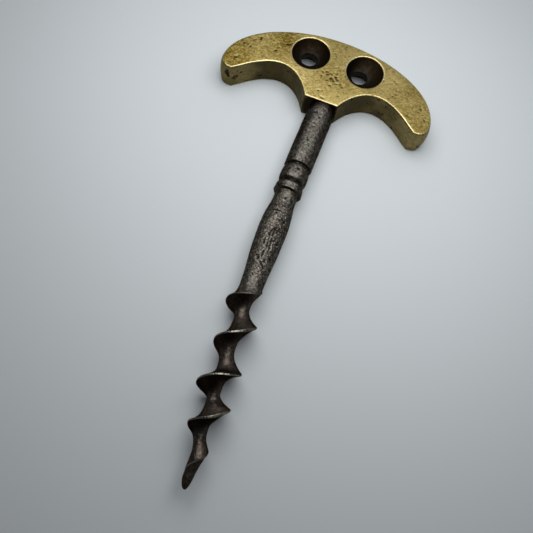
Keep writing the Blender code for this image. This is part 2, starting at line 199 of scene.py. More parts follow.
# random pits in the handle: place, count, smallest and largest radius, depth per radius
RANDOM_PITS = (
    ("front", 300, 0.13, 0.34, 0.34), ("back", 200, 0.16, 0.55, 0.4),
    ("wall", 240, 0.16, 0.6, 0.35), ("boss", 80, 0.14, 0.34, 0.4),
)
BOSS_PITS_X, BOSS_PITS_RISE = (1.0, 2.6), (10.5, 1.9)     # middle and spread
FACE_PITS_X, FACE_PITS_RISE, WALL_PITS_EDGE = 32.0, 24.0, 0.4


# ---- fields and curves ----

LATTICE, LATTICE_SHIFT = 64, 0.37


def lattice_noise(points, wavelength, seed):
    """Smooth random field in space, between -1 and 1, one value for each point."""
    table = np.random.default_rng(seed).uniform(-1.0, 1.0, (LATTICE, LATTICE, LATTICE))
    scaled = points / wavelength + LATTICE_SHIFT
    cell = np.floor(scaled).astype(int)
    share = scaled - cell
    share = share * share * (3.0 - 2.0 * share)
    total = np.zeros(len(points))
    for corner in np.ndindex(2, 2, 2):
        weight = np.ones(len(points))
        for axis in range(3):
            weight *= share[:, axis] if corner[axis] else 1.0 - share[:, axis]
        at = [(cell[:, axis] + corner[axis]) % LATTICE for axis in range(3)]
        total += weight * table[at[0], at[1], at[2]]
    return total


def layered_noise(points, layers):
    return sum(size * lattice_noise(points, wavelength, seed)
               for size, wavelength, seed in layers)


def smooth_step(value, low, high):
    t = np.clip((value - low) / (high - low), 0.0, 1.0)
    return t * t * (3.0 - 2.0 * t)


def between(value, rise, fall):
    """1 between two bands and 0 outside them, fading in over one and out over the other."""
    return smooth_step(value, *rise) * (1.0 - smooth_step(value, *fall))


def weighted(value, fade):
    """Rises from 0 to the fade's weight over the fade's band."""
    weight, band = fade
    return weight * smooth_step(value, *band)


def smooth_through(x, xs, ys):
    """Cubic curve through (xs, ys), with the slope at each knot taken from its neighbours."""
    x = np.clip(x, xs[0], xs[-1])
    i = np.clip(np.searchsorted(xs, x, side="right") - 1, 0, len(xs) - 2)
    slopes = np.empty(len(xs))
    slopes[1:-1] = (ys[2:] - ys[:-2]) / (xs[2:] - xs[:-2])
    slopes[0] = (ys[1] - ys[0]) / (xs[1] - xs[0])
    slopes[-1] = (ys[-1] - ys[-2]) / (xs[-1] - xs[-2])
    run = xs[i + 1] - xs[i]
    t = (x - xs[i]) / run
    return ((2 * t ** 3 - 3 * t ** 2 + 1) * ys[i] + (t ** 3 - 2 * t ** 2 + t) * run * slopes[i]
            + (3 * t ** 2 - 2 * t ** 3) * ys[i + 1] + (t ** 3 - t ** 2) * run * slopes[i + 1])


def bezier(p0, p1, p2, p3, count):
    """Points of a cubic curve after its first point, the last one included."""
    t = (np.arange(1, count + 1) / count)[:, None]
    s = 1.0 - t
    corners = [np.array(p, float) for p in (p0, p1, p2, p3)]
    return (s ** 3 * corners[0] + 3 * s ** 2 * t * corners[1] + 3 * s * t ** 2 * corners[2]
            + t ** 3 * corners[3])


# ---- mesh arrays ----
# A mesh here is (points, quads): a triangle is a quad that names its last corner twice.

def vertex_normals(points, quads):
    face = np.cross(points[quads[:, 2]] - points[quads[:, 0]],
                    points[quads[:, 3]] - points[quads[:, 1]])
    total = np.stack([
        sum(np.bincount(quads[:, k], face[:, axis], len(points)) for k in range(4))
        for axis in range(3)
    ], axis=1)
    return total / np.maximum(np.linalg.norm(total, axis=1, keepdims=True), 1e-12)


def edge_pairs(quads):
    sides = np.concatenate([quads[:, [k, (k + 1) % 4]] for k in range(4)])
    sides = sides[sides[:, 0] != sides[:, 1]]
    return np.unique(np.sort(sides, axis=1), axis=0)


def neighbour_mean(values, pairs):
    """Mean over each point's neighbours, of a value or of a position."""
    a, b = pairs[:, 0], pairs[:, 1]
    count = len(values)
    degree = np.maximum(np.bincount(a, minlength=count) + np.bincount(b, minlength=count), 1)
    table = values.reshape(count, -1)
    total = np.stack([
        np.bincount(a, table[b, k], count) + np.bincount(b, table[a, k], count)
        for k in range(table.shape[1])
    ], axis=1)
    return (total / degree[:, None]).reshape(values.shape)


def smooth(values, pairs, rounds):
    """Moves every value half way to its neighbours' mean, a number of times."""
    for _ in range(rounds):
        values = values + 0.5 * (neighbour_mean(values, pairs) - values)
    return values


def bending(points, quads, pairs):
    """Curvature of the surface, per mm: above 0 on ridges, below 0 in hollows."""
    a, b = pairs[:, 0], pairs[:, 1]
    length = np.linalg.norm(points[a] - points[b], axis=1)
    count = len(points)
    degree = np.maximum(np.bincount(a, minlength=count) + np.bincount(b, minlength=count), 1)
    spacing = (np.bincount(a, length, count) + np.bincount(b, length, count)) / degree
    inward = points - neighbour_mean(points, pairs)
    normals = vertex_normals(points, quads)
    return (inward * normals).sum(1) / np.maximum(spacing, 1e-6) ** 2


def crispness(points, quads, pairs):
    """Fine curvature for the materials: CRISP_FLAT where flat, and less in small hollows."""
    return CRISP_FLAT + CRISP_GAIN * smooth(bending(points, quads, pairs), pairs, 1)


def dents(points, centres, radii, depths, stretches=None, angles=None):
    """How deep each point lies below the surface under a set of soft pits."""
    total = np.zeros(len(points))
    for i, centre in enumerate(centres):
        offset = points - centre
        if stretches is not None and stretches[i] != 1.0:
            c, s = math.cos(angles[i]), math.sin(angles[i])
            along = (offset[:, 0] * c + offset[:, 1] * s) / stretches[i]
            across = -offset[:, 0] * s + offset[:, 1] * c
            squared = along ** 2 + across ** 2 + offset[:, 2] ** 2
        else:
            squared = (offset ** 2).sum(1)
        near = squared < (DENT_REACH * radii[i]) ** 2
        total[near] += depths[i] * np.exp(-DENT_FALL * squared[near] / radii[i] ** 2)
    return total


def add_piece(name, points, quads, attributes, material):
    """Makes the mesh object, in metres, with one value per point for each named attribute."""
    faces = [list(dict.fromkeys(quad)) for quad in quads.tolist()]
    mesh = bpy.data.meshes.new(name)
    mesh.from_pydata((points * MM).tolist(), [], faces)
    for key, values in attributes.items():
        layer = mesh.attributes.new(key, "FLOAT", "POINT")
        layer.data.foreach_set("value", np.clip(values, 0.0, 1.0).astype(np.float32))
    mesh.materials.append(material)
    mesh.shade_smooth()
    mesh.update()
    piece = bpy.data.objects.new(name, mesh)
    bpy.context.scene.collection.objects.link(piece)
    return piece


# ---- handle ----

def two_thirds(start, end):
    return tuple((p + 2 * q) / 3 for p, q in zip(start, end))


def half_outline():
    """Right half of the outline from the crown round to the boss: x, y and the wall's swell."""
    outer = bezier(CROWN, CROWN_LEAD, ARM_LEAD, ARM_END, OUTER_COUNT)
    under = bezier(ARM_END, two_thirds(ARM_END, ARM_TURN), two_thirds(ARM_TIP, ARM_TURN),
                   ARM_TIP, UNDER_COUNT)
    corner = bezier(ARM_TIP, ARM_TOE, ARM_TOE, ARM_INNER, CORNER_COUNT)
    recess = bezier(ARM_INNER, *RECESS_LEADS, BOSS_CORNER, RECESS_COUNT)
    points = np.concatenate([[CROWN], outer, under, corner, recess]) + (0.0, SHOULDER_Y)
    swell = np.zeros(len(points))
    full = 1 + OUTER_COUNT
    swell[:full] = BULGE
    fading = 1.0 - np.arange(1, UNDER_COUNT + 1) / UNDER_COUNT
    swell[full:full + UNDER_COUNT] = BULGE * fading
    return points, swell


def outline():
    half, swell = half_outline()
    mirrored = half[:0:-1] * (-1, 1)
    return np.concatenate([half, mirrored]), np.concatenate([swell, swell[:0:-1]])


def outward(points):
    """For each corner of a clockwise outline, the step that moves both its sides out by one."""
    ahead = np.roll(points, -1, axis=0) - points
    side = np.stack([-ahead[:, 1], ahead[:, 0]], axis=1)
    side /= np.linalg.norm(side, axis=1, keepdims=True)
    before = np.roll(side, 1, axis=0)
    return (side + before) / (1.0 + (side * before).sum(1, keepdims=True))


def loft(rings, start=None, end=None):
    """Closed bmesh through equal rings, closed at its ends by a fan, or flat if no point."""
    mesh = bmesh.new()
    loops = [[mesh.verts.new(p) for p in ring] for ring in rings]
    count = len(rings[0])
    for low, high in zip(loops, loops[1:]):
        for i in range(count):
            j = (i + 1) % count
            mesh.faces.new((low[i], low[j], high[j], high[i]))
    for loop, tip in ((loops[0], start), (loops[-1], end)):
        if tip is None:
            mesh.faces.new(loop)
            continue
        apex = mesh.verts.new(tip)
        for i in range(count):
            mesh.faces.new((loop[i], loop[(i + 1) % count], apex))
    bmesh.ops.recalc_face_normals(mesh, faces=mesh.faces)
    return mesh


def temporary(name, mesh):
    data = bpy.data.meshes.new(name)
    mesh.to_mesh(data)
    mesh.free()
    item = bpy.data.objects.new(name, data)
    bpy.context.scene.collection.objects.link(item)
    return item


def handle_blank():
    points, swell = outline()
    steps = outward(points)
    turns = [0.5 * math.pi * k / EDGE_STEPS for k in range(EDGE_STEPS + 1)]
    edge = [(EDGE_RADIUS * (math.sin(turn) - 1.0), EDGE_RADIUS * (1.0 - math.cos(turn)))
            for turn in turns]
    heights = np.linspace(EDGE_RADIUS, THICKNESS - EDGE_RADIUS, WALL_STEPS)[1:-1]
    wall = [(0.0, z) for z in heights]
    levels = edge + wall + [(inset, THICKNESS - z) for inset, z in reversed(edge)]
    rings = []
    for offset, z in levels:
        lift = offset + swell * (1.0 - (2.0 * z / THICKNESS - 1.0) ** 2)
        flat = points + steps * lift[:, None]
        rings.append([(x, y, z) for x, y in flat.tolist()])
    return loft(rings)


def ring_at(x, y, z, radius, axis, sides):
    turn = [2 * math.pi * i / sides for i in range(sides)]
    if axis == "z":
        return [(x + radius * math.cos(a), y + radius * math.sin(a), z) for a in turn]
    return [(x + radius * math.cos(a), y, z + radius * math.sin(a)) for a in turn]


def eye_cutter(x, squash, drift):
    """Hourglass plug: a cupped bowl in front, a flare behind, a small chamfer round each rim."""
    y = SHOULDER_Y + EYE_RISE
    levels = []
    for k in range(-EYE_RINGS, EYE_RINGS + 1):
        share = (abs(k) / EYE_RINGS) ** EYE_CROWDING
        rim, power, face = EYE_BACK, EYE_FLARE_POWER, EYE_LIP
        if k > 0:
            rim, power, face = EYE_FRONT, EYE_BOWL_POWER, THICKNESS - EYE_LIP
        radius = EYE_WAIST + (rim - EYE_WAIST) * share ** power
        levels.append((radius, EYE_WAIST_Z + (face - EYE_WAIST_Z) * share))
    wider = EYE_LIP + PROUD
    levels = [(EYE_BACK + wider, -PROUD)] + levels + [(EYE_FRONT + wider, THICKNESS + PROUD)]
    rings = []
    for radius, z in levels:
        share = (EYE_FRONT - radius) / (EYE_FRONT - EYE_WAIST) if z > EYE_WAIST_Z else 1.0
        share = min(max(share, 0.0), 1.0)
        centre_x, centre_y = x + share * drift[0], y + share * drift[1]
        wide = squash + (1.0 - squash) * share
        ring = ring_at(centre_x, centre_y, z, radius, "z", EYE_SIDES)
        rings.append([(centre_x + wide * (px - centre_x), py, pz) for px, py, pz in ring])
    back = (x + drift[0], y + drift[1], -PROUD)
    return loft(rings, back, (x, y, THICKNESS + PROUD))


def bore_cutter():
    crown = SHOULDER_Y + HANDLE_RISE
    head = crown - TANG_HEAD_INSET - TANG_HEAD_DEPTH
    levels = ((TANG_RADIUS + GAP, SHOULDER_Y - PROUD), (TANG_RADIUS + GAP, head),
              (TANG_HEAD_RADIUS + GAP, head + TANG_HEAD_DEPTH - 2 * GAP),
              (TANG_HEAD_RADIUS + GAP, crown + 2 * PROUD))
    rings = [ring_at(SHANK_X, y, MIDDLE_Z, radius, "y", BORE_SIDES) for radius, y in levels]
    return loft(rings, (SHANK_X, levels[0][1], MIDDLE_Z), (SHANK_X, levels[-1][1], MIDDLE_Z))


def handle_shell():
    """The cut blank as one even skin of quads: points and quads."""
    blank = temporary("blank", handle_blank())
    cutters = [eye_cutter(*eye) for eye in zip(EYE_CENTRES_X, EYE_SQUASH, EYE_DRIFT)]
    cutters.append(bore_cutter())
    tools = [temporary("tool", cutter) for cutter in cutters]
    for i, tool in enumerate(tools):
        cut = blank.modifiers.new(f"cut_{i}", "BOOLEAN")
        cut.operation = "DIFFERENCE"
        cut.solver = "EXACT"
        cut.object = tool
    skin = blank.modifiers.new("skin", "REMESH")
    skin.mode = "VOXEL"
    skin.voxel_size = VOXEL
    depsgraph = bpy.context.evaluated_depsgraph_get()
    mesh = bpy.data.meshes.new_from_object(blank.evaluated_get(depsgraph))
    points = np.empty(len(mesh.vertices) * 3, np.float32)
    mesh.vertices.foreach_get("co", points)
    quads = np.array([(list(p.vertices) + [p.vertices[-1]])[:4] for p in mesh.polygons])
    for item in [blank] + tools:
        bpy.data.objects.remove(item)
    return points.reshape(-1, 3).astype(float), quads


# pits in the front face: x, rise, radius, depth, stretch, angle of the long side
FRONT_PITS = (
    (-28.8, 11.2, 0.38, 0.16, 1.0, 0.0), (-28.3, 9.8, 0.38, 0.14, 1.0, 0.0),
    (-26.6, 10.5, 0.42, 0.18, 1.2, 1.2), (-24.8, 15.0, 0.4, 0.2, 1.6, 1.7),
    (-24.5, 14.3, 0.36, 0.16, 1.0, 0.0), (-26.0, 13.9, 0.3, 0.14, 1.0, 0.0),
    (-24.9, 9.0, 0.32, 0.1, 1.8, 1.8), (-18.9, 12.2, 0.42, 0.24, 1.6, 0.5),
    (-18.3, 13.8, 0.26, 0.1, 1.4, 0.8), (-16.1, 16.2, 0.42, 0.26, 2.2, 0.3),
    (-15.2, 17.0, 0.36, 0.18, 1.0, 0.0), (-29.3, 4.7, 0.5, 0.14, 1.5, 0.4),
    (-28.5, 5.7, 0.36, 0.12, 1.0, 0.0), (-22.6, 12.6, 0.3, 0.08, 2.0, 0.2),
    (18.7, 16.4, 0.34, 0.12, 1.6, -0.9), (19.3, 16.0, 0.3, 0.1, 1.0, 0.0),
    (20.4, 11.7, 0.36, 0.16, 1.2, 0.2), (19.6, 10.7, 0.34, 0.12, 1.6, 1.0),
    (28.8, 9.6, 0.4, 0.18, 1.5, -1.0), (28.4, 10.7, 0.34, 0.14, 1.0, 0.0),
    (30.8, 6.1, 0.36, 0.14, 1.6, -0.8), (25.4, 5.6, 0.34, 0.16, 1.4, 0.9),
    (26.3, 5.4, 0.32, 0.12, 1.0, 0.0), (15.3, 15.2, 0.34, 0.16, 1.4, 0.6),
    (30.4, 4.8, 0.3, 0.1, 1.8, 0.9), (30.1, 3.4, 0.3, 0.1, 1.8, 0.9),
    (-2.8, 9.1, 0.36, 0.2, 1.0, 0.0), (-1.7, 11.2, 0.4, 0.22, 1.3, 0.4),
    (0.1, 9.2, 0.42, 0.2, 1.6, 0.9), (0.6, 6.5, 0.34, 0.16, 1.4, 0.3),
    (-1.9, 3.4, 0.34, 0.16, 1.5, 0.3), (0.0, 1.2, 0.34, 0.16, 2.4, -0.2),
    (1.2, 8.5, 0.32, 0.16, 1.6, 0.6), (1.4, 10.1, 0.32, 0.16, 1.6, 1.0),
    (3.6, 8.3, 0.32, 0.14, 1.6, -0.4), (4.3, 7.4, 0.34, 0.16, 1.8, -0.6),
    (0.8, 8.9, 0.3, 0.14, 1.4, 0.2), (1.3, 11.6, 0.3, 0.14, 1.7, 1.2),
    (4.2, 3.7, 0.3, 0.12, 1.3, 0.4), (2.3, 9.2, 0.34, 0.16, 1.8, 0.5),
    (-1.2, 10.2, 0.34, 0.18, 1.6, 0.3), (2.6, 7.9, 0.34, 0.16, 1.0, 0.0),
    (-0.9, 8.1, 0.32, 0.16, 1.0, 0.0), (-2.4, 20.6, 0.3, 0.12, 2.4, 0.2),
    (-1.9, 19.8, 0.26, 0.12, 2.6, 0.3), (-1.5, 19.0, 0.28, 0.1, 2.0, 0.1),
)
# dents in the walls: x, rise, z, radius, depth
WALL_PITS = (
    (-30.3, 0.3, 5.4, 0.85, 0.42), (-29.9, 0.4, 4.3, 0.6, 0.3), (-30.2, 0.3, 6.5, 0.55, 0.26),
    (-31.6, 0.4, 8.0, 0.34, 0.14), (12.9, 7.6, 8.3, 0.42, 0.24), (13.9, 8.5, 8.3, 0.36, 0.2),
    (14.8, 9.3, 8.2, 0.3, 0.16), (-28.6, 0.8, 8.2, 0.3, 0.16),
)


def scattered_pits(rng, count, place, low_radius, high_radius, depth_share):
    """Random pits: centres from place(rng), many small ones and few large ones."""
    centres, radii = [], []
    for _ in range(count):
        centres.append(place(rng))
        share = rng.random() ** PIT_POWER
        radii.append(low_radius + (high_radius - low_radius) * share)
    radii = np.array(radii)
    depths = depth_share * radii * rng.uniform(*PIT_DEPTHS, count)
    stretches = rng.uniform(*PIT_STRETCHES, count)
    angles = rng.uniform(0.0, math.pi, count)
    return np.array(centres), radii, depths, stretches, angles


def handle_pits(points):
    """How deep each point lies under the pits, the placed ones first and then the random ones."""
    rng = np.random.default_rng(HANDLE_SEED)
    edge, _ = outline()

    def on_face(z):
        return lambda rng: (rng.uniform(-FACE_PITS_X, FACE_PITS_X),
                            SHOULDER_Y + rng.uniform(0.0, FACE_PITS_RISE), z)

    def on_wall(rng):
        x, y = edge[rng.integers(len(edge))]
        return x, y, rng.uniform(WALL_PITS_EDGE, THICKNESS - WALL_PITS_EDGE)

    def by_the_boss(rng):
        x = BOSS_PITS_X[0] + rng.normal(0.0, BOSS_PITS_X[1])
        return x, SHOULDER_Y + BOSS_PITS_RISE[0] + rng.normal(0.0, BOSS_PITS_RISE[1]), THICKNESS

    total = np.zeros(len(points))
    placed = np.array(FRONT_PITS)
    centres = np.stack([placed[:, 0], placed[:, 1] + SHOULDER_Y,
                        np.full(len(placed), THICKNESS)], axis=1)
    radii, depths, stretches, angles = placed[:, 2:].T
    total += dents(points, centres, PLACED_PIT_SPREAD * radii, depths, stretches, angles)
    placed = np.array(WALL_PITS)
    total += dents(points, placed[:, :3] + (0.0, SHOULDER_Y, 0.0), placed[:, 3], placed[:, 4])
    places = {"front": on_face(THICKNESS), "back": on_face(0.0), "wall": on_wall,
              "boss": by_the_boss}
    for name, count, low, high, share in RANDOM_PITS:
        total += dents(points, *scattered_pits(rng, count, places[name], low, high, share))
    return total


def in_an_eye(points):
    """1 inside the eyes' rims and 0 outside them."""
    x, y = points[:, 0], points[:, 1] - SHOULDER_Y - EYE_RISE
    in_front = points[:, 2] > EYE_WAIST_Z
    from_eye = np.minimum(*(
        np.hypot((x - eye_x - np.where(in_front, 0.0, drift[0]))
                 / np.where(in_front, squash, 1.0),
                 y - np.where(in_front, 0.0, drift[1]))
        for eye_x, squash, drift in zip(EYE_CENTRES_X, EYE_SQUASH, EYE_DRIFT)))
    rim = np.where(in_front, EYE_FRONT, EYE_BACK)
    return smooth_step(rim + BOWL_MARGIN - from_eye, 0.0, BOWL_FADE)


def make_handle(material):
    points, quads = handle_shell()
    pairs = edge_pairs(quads)
    points = smooth(points, pairs, 2)
    normals = vertex_normals(points, quads)
    tilt = 1.0 - np.abs(normals[:, 2])
    side = smooth_step(tilt, *SIDE_TILT)
    bowl = in_an_eye(points)
    # the rounded edges, painted with wear and a highlight
    edge = between(tilt, EDGE_TILT_IN, EDGE_TILT_OUT)
    edge *= EDGE_WEAR_AND_HIGHLIGHT + layered_noise(points, EDGE_WEAR_AND_HIGHLIGHT_NOISE)
    pits = handle_pits(points)
    relief = layered_noise(points, CAST_RELIEF) + side * layered_noise(points, WALL_RELIEF)
    relief -= HANDLE_PIT_SHARE * pits
    points = points + normals * relief[:, None]
    x, rise, z = points[:, 0], points[:, 1] - SHOULDER_Y, points[:, 2]
    reach = np.abs(x)
    # grime and painted shade, strongest towards the middle and low down
    grime_and_shade = 1.0 - weighted(reach, GRIME_AND_SHADE_BY_REACH) + layered_noise(points, GRIME_AND_SHADE_NOISE)
    grime_and_shade -= weighted(rise, GRIME_AND_SHADE_BY_RISE) + weighted(x, GRIME_AND_SHADE_BY_X)
    # stain and painted shade on the boss's lower face, darkest round the shank
    from_shank = np.hypot(x - SHANK_X, z - MIDDLE_Z)
    on_shoulder = (rise < STAIN_AND_SHADE_MARGIN) & (reach < BOSS_HALF_WIDTH + STAIN_AND_SHADE_MARGIN)
    stain_and_shade = on_shoulder * (1.0 - smooth_step(from_shank, *STAIN_AND_SHADE_BAND))
    tarnish = TARNISH + layered_noise(points, TARNISH_NOISE)
    tarnish += weighted(-x, TARNISH_LEFT) + weighted(x, TARNISH_RIGHT)
    attributes = {
        "side": side * (1.0 - bowl),
        # grime and painted shade
        "grime_and_shade": grime_and_shade,
        # stain and painted shade round the shank
        "stain_and_shade": stain_and_shade,
        "tarnish": tarnish,
        "bowl": bowl,
        "depth": (THICKNESS - z) / (THICKNESS - EYE_WAIST_Z),
        # rounded edges: wear and a painted highlight, kept out of the bowls
        "ridge": edge * (1.0 - bowl),
        "pit": smooth_step(pits, *HANDLE_PIT_DEPTHS),
        "crisp": crispness(points, quads, pairs),
    }
    piece = add_piece("handle_casting", points, quads, attributes, material)
    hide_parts("handle")
    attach(piece, "root")
    return piece


# ---- shank ----

def axis_points(drops):
    """Centre of the shank's section at each drop, with its sideways bend and its lean."""
    run = np.maximum(0.0, drops - BEND_START)
    share = np.clip(drops / LEAN_LENGTH, 0.0, 1.0)
    kink = KINK * np.exp(-((drops - KINK_DROP) / KINK_LENGTH) ** 2)
    return np.stack([SHANK_X + BEND_RATE * run ** 2 + kink, SHOULDER_Y - drops,
                     MIDDLE_Z + LEAN_RISE * (1.0 - (1.0 - share) ** 2)], axis=1)


def turned_radius(drops):
    return smooth_through(drops, TURNED[:, 0], TURNED[:, 1])


def spokes(angles):
    """Unit steps out from the shank's axis, from its right-hand side round by the front."""
    return np.stack([np.cos(angles), np.zeros(len(angles)), np.sin(angles)], axis=1)


def half_turns(drops):
    """How many half turns the blade's edge has made at each drop; below 0 above the worm."""
    before = (drops - QUARTER_DROPS[0]) / (QUARTER_DROPS[2] - QUARTER_DROPS[0])
    after = smooth_through(drops, QUARTER_DROPS, 0.5 * np.arange(len(QUARTER_DROPS)))
    return np.where(drops < QUARTER_DROPS[0], before, after)


def section_shares(crowded):
    """Places of a section's points: 0 at the blade's edge, 1 or -1 at the groove's bottom."""
    side = AROUND // 2
    even = (np.arange(side) + 0.5) / side
    climb = (np.arange(side) / (side - 1)) ** CROWDING
    close = CLOSEST + (1.0 - CLOSEST - 0.5 / side) * climb
    shares = even + (close - even) * crowded
    return np.concatenate([-shares[::-1], shares])


def worm_radii(shares, half_turn, bar):
    """Radius round a section; bar is the plain bar's radius there."""
    knots = np.arange(len(HALF_TURN_RADII), dtype=float)
    outer = smooth_through(np.full(len(shares), half_turn), knots, HALF_TURN_RADII)
    core = smooth_through(np.full(len(shares), half_turn), knots, HALF_TURN_CORES)
    edge_above = half_turn + shares - np.where(shares > 0, 2.0, 0.0)
    cut = smooth_step(edge_above, RUNOUT_FROM, RUNOUT_TO)
    base = bar + (core - bar) * cut
    power = RUNOUT_POWER + (BLADE_POWER - RUNOUT_POWER) * cut
    power = power + (POINT_POWER - power) * smooth_step(half_turn, *POINT_BLEND)
    near = np.clip((1.0 - np.abs(shares)) / (1.0 - LAND), 0.0, 1.0)
    return base + (outer - base) * near ** power


def shank_rings():
    """Every section of the shank below the tang: its drop, its points' shares and their radii."""
    rings = []
    worm_start, worm_end = QUARTER_DROPS[0], QUARTER_DROPS[-1]
    fine = np.linspace(TURNED[0, 0], worm_start, TURNED_SAMPLES)
    climb = np.abs(np.gradient(turned_radius(fine)))
    travel = np.cumsum(fine[1] - fine[0] + FLANK_CARE * climb)
    turned_count = int(travel[-1] / STATION_STEP)
    even_travel = np.linspace(travel[0], travel[-1], turned_count, endpoint=False)
    for drop in np.interp(even_travel, travel, fine):
        radius = turned_radius(np.array([drop]))[0]
        shares = section_shares(smooth_step(drop, worm_start - CROWDING_LENGTH, worm_start))
        rings.append((drop, shares, np.full(AROUND, radius)))
    shares = section_shares(1.0)
    worm_count = int((worm_end - worm_start) / WORM_STEP)
    for drop in np.linspace(worm_start, worm_end, worm_count, endpoint=False):
        turn = half_turns(np.array([drop]))[0]
        rings.append((drop, shares, worm_radii(shares, turn, TURNED[-1, 1])))
    last = worm_radii(shares, len(HALF_TURN_RADII) - 1.0, 0.0)
    for t in np.linspace(0.0, 1.0, POINT_STATIONS, endpoint=False):
        drop = worm_end + (POINT_DROP - worm_end) * t
        rings.append((drop, shares, last * math.sqrt(1.0 - t ** 2)))
    return rings


def tang_sections():
    """(radius, y) from the peened end down to the shoulder."""
    top = SHOULDER_Y + HANDLE_RISE - TANG_HEAD_INSET
    levels = [(TANG_HEAD_RADIUS * s, top + PEEN_RISE * (1 - s * s)) for s in PEEN_RINGS]
    levels += [(TANG_HEAD_RADIUS, top - drop) for drop in PEEN_SIDE]
    down_the_tang = np.linspace(top - TANG_HEAD_DEPTH, SHOULDER_Y - TANG_END, TANG_RINGS)
    levels += [(TANG_RADIUS, y) for y in down_the_tang]
    return levels


def shank_skin():
    """Points, quads, and each point's drop, outward direction and share from the blade."""
    points, outwards, drops, from_edge = [], [], [], []
    flat = spokes(math.pi * section_shares(0.0))
    for radius, y in tang_sections():
        points.append(np.array((SHANK_X, y, MIDDLE_Z)) + radius * flat)
        outwards.append(flat)
        drops.append(np.full(AROUND, SHOULDER_Y - y))
        from_edge.append(np.ones(AROUND))
    for drop, shares, radii in shank_rings():
        turn = max(0.0, half_turns(np.array([drop]))[0])
        way = spokes(math.pi * (turn + shares))
        points.append(axis_points(np.array([drop])) + radii[:, None] * way)
        outwards.append(way)
        drops.append(np.full(AROUND, drop))
        from_edge.append(np.abs(shares))
    rows = len(points)
    grid = np.arange(rows * AROUND).reshape(rows, AROUND)
    ahead = np.roll(grid, -1, axis=1)
    quads = np.stack([grid[:-1], ahead[:-1], ahead[1:], grid[1:]], axis=-1).reshape(-1, 4)
    top, tip = rows * AROUND, rows * AROUND + 1
    caps = [np.stack([np.full(AROUND, top), ahead[0], grid[0], grid[0]], axis=1),
            np.stack([np.full(AROUND, tip), grid[-1], ahead[-1], ahead[-1]], axis=1)]
    ends = [points[0].mean(0) + (0.0, END_DOME, 0.0), axis_points(np.array([POINT_DROP]))[0]]
    points = np.concatenate(points + [np.array(ends)])
    outwards = np.concatenate(outwards + [np.array(((0.0, 1.0, 0.0), (0.0, -1.0, 0.0)))])
    drops = np.concatenate(drops + [np.array((-HANDLE_RISE, POINT_DROP))])
    from_edge = np.concatenate(from_edge + [np.ones(2)])
    return points, np.concatenate([quads] + caps), drops, outwards, from_edge


def forging_furrows(points):
    """How deep each point lies under the short furrows in the baluster's front."""
    total = np.zeros(len(points))
    for furrow in FURROWS:
        knots = np.array(furrow)
        place = np.linspace(0.0, len(knots) - 1.0, FURROW_SAMPLES * len(knots))
        offset = smooth_through(place, np.arange(len(knots)), knots[:, 0])
        drop = smooth_through(place, np.arange(len(knots)), knots[:, 1])
        centres = axis_points(drop)
        centres[:, 0] += offset
        centres[:, 2] += np.sqrt(turned_radius(drop) ** 2 - offset ** 2)
        from_end = np.minimum(place, place[::-1])
        depths = FURROW_DEPTH * smooth_step(from_end, *FURROW_ENDS)
        total += dents(points, centres, np.full(len(place), FURROW_WIDTH), depths)
    return total


def shank_pits(points):
    """How deep each point lies under the random pits of the turned part."""
    rng = np.random.default_rng(SHANK_SEED)
    drop = rng.uniform(*SHANK_PIT_DROPS, SHANK_PITS)
    angle = rng.uniform(0.0, 2 * math.pi, SHANK_PITS)
    centres = axis_points(drop) + turned_radius(drop)[:, None] * spokes(angle)
    radii = SHANK_PIT_RADIUS + SHANK_PIT_MORE * rng.random(SHANK_PITS) ** SHANK_PIT_POWER
    return dents(points, centres, radii, SHANK_PIT_DEPTH * radii)


def make_shank(material):
    points, quads, drops, outwards, from_edge = shank_skin()
    pairs = edge_pairs(quads)
    normals = vertex_normals(points, quads)
    if (normals * outwards).sum() < 0:
        quads = quads[:, ::-1]
        normals = -normals
    ridge = smooth(bending(points, quads, pairs), pairs, 2)
    on_baluster = between(drops, BALUSTER_IN, BALUSTER_OUT)
    furrows, pits = forging_furrows(points), shank_pits(points)
    relief = between(drops, TURNED_IN, TURNED_OUT) * layered_noise(points, TURNED_RELIEF)
    relief += smooth_step(drops, *WORM_IN) * layered_noise(points, WORM_RELIEF)
    relief += on_baluster * layered_noise(points, BALUSTER_RELIEF)
    relief -= furrows + pits
    relief *= smooth_step(drops, *RELIEF_IN)
    relief *= 1.0 - (1.0 - POINT_RELIEF) * smooth_step(drops, *RELIEF_OUT)
    points = points + normals * relief[:, None]
    facing = vertex_normals(points, quads)
    land = (1.0 - smooth_step(from_edge, *LAND_BAND)) * smooth_step(drops, *LAND_IN)
    # painted shade on the flanks that face down the shank, such as under each turn of the blade
    under = smooth_step(-facing[:, 1], *DOWNWARD) * (1.0 - land) * smooth_step(drops, *UNDERSIDE_SHADE_IN)
    under *= UNDERSIDE_SHADE_BELOW + (1.0 - UNDERSIDE_SHADE_BELOW) * smooth_step(facing[:, 2], *UPWARD)
    under *= 1.0 - (1.0 - UNDERSIDE_SHADE_POINT) * smooth_step(drops, *UNDERSIDE_SHADE_OUT)
    attributes = {
        "worm": smooth_step(drops, *BLADE_IN),
        "rough_forged": on_baluster,
        "land": land * (LAND_WEAR + layered_noise(points, LAND_WEAR_NOISE)),
        # painted underside shade
        "under": under,
        "ridge": smooth_step(ridge, *RIDGE_BEND),
        # dirt and painted shade in the hollows
        "hollow_dirt_and_shade": smooth_step(-ridge, *HOLLOW_DIRT_AND_SHADE_BEND),
        "pit": smooth_step(pits + FURROW_DARKNESS * furrows, *SHANK_PIT_DEPTHS),
        "crisp": crispness(points, quads, pairs),
        # rust and painted shade at the top of the shank, under the boss
        "rust_and_shade": between(drops, RUST_AND_SHADE_IN, RUST_AND_SHADE_OUT),
    }
    piece = add_piece("shank_forging", points, quads, attributes, material)
    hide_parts("shank")
    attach(piece, "root")
    return piece


# ---- materials ----

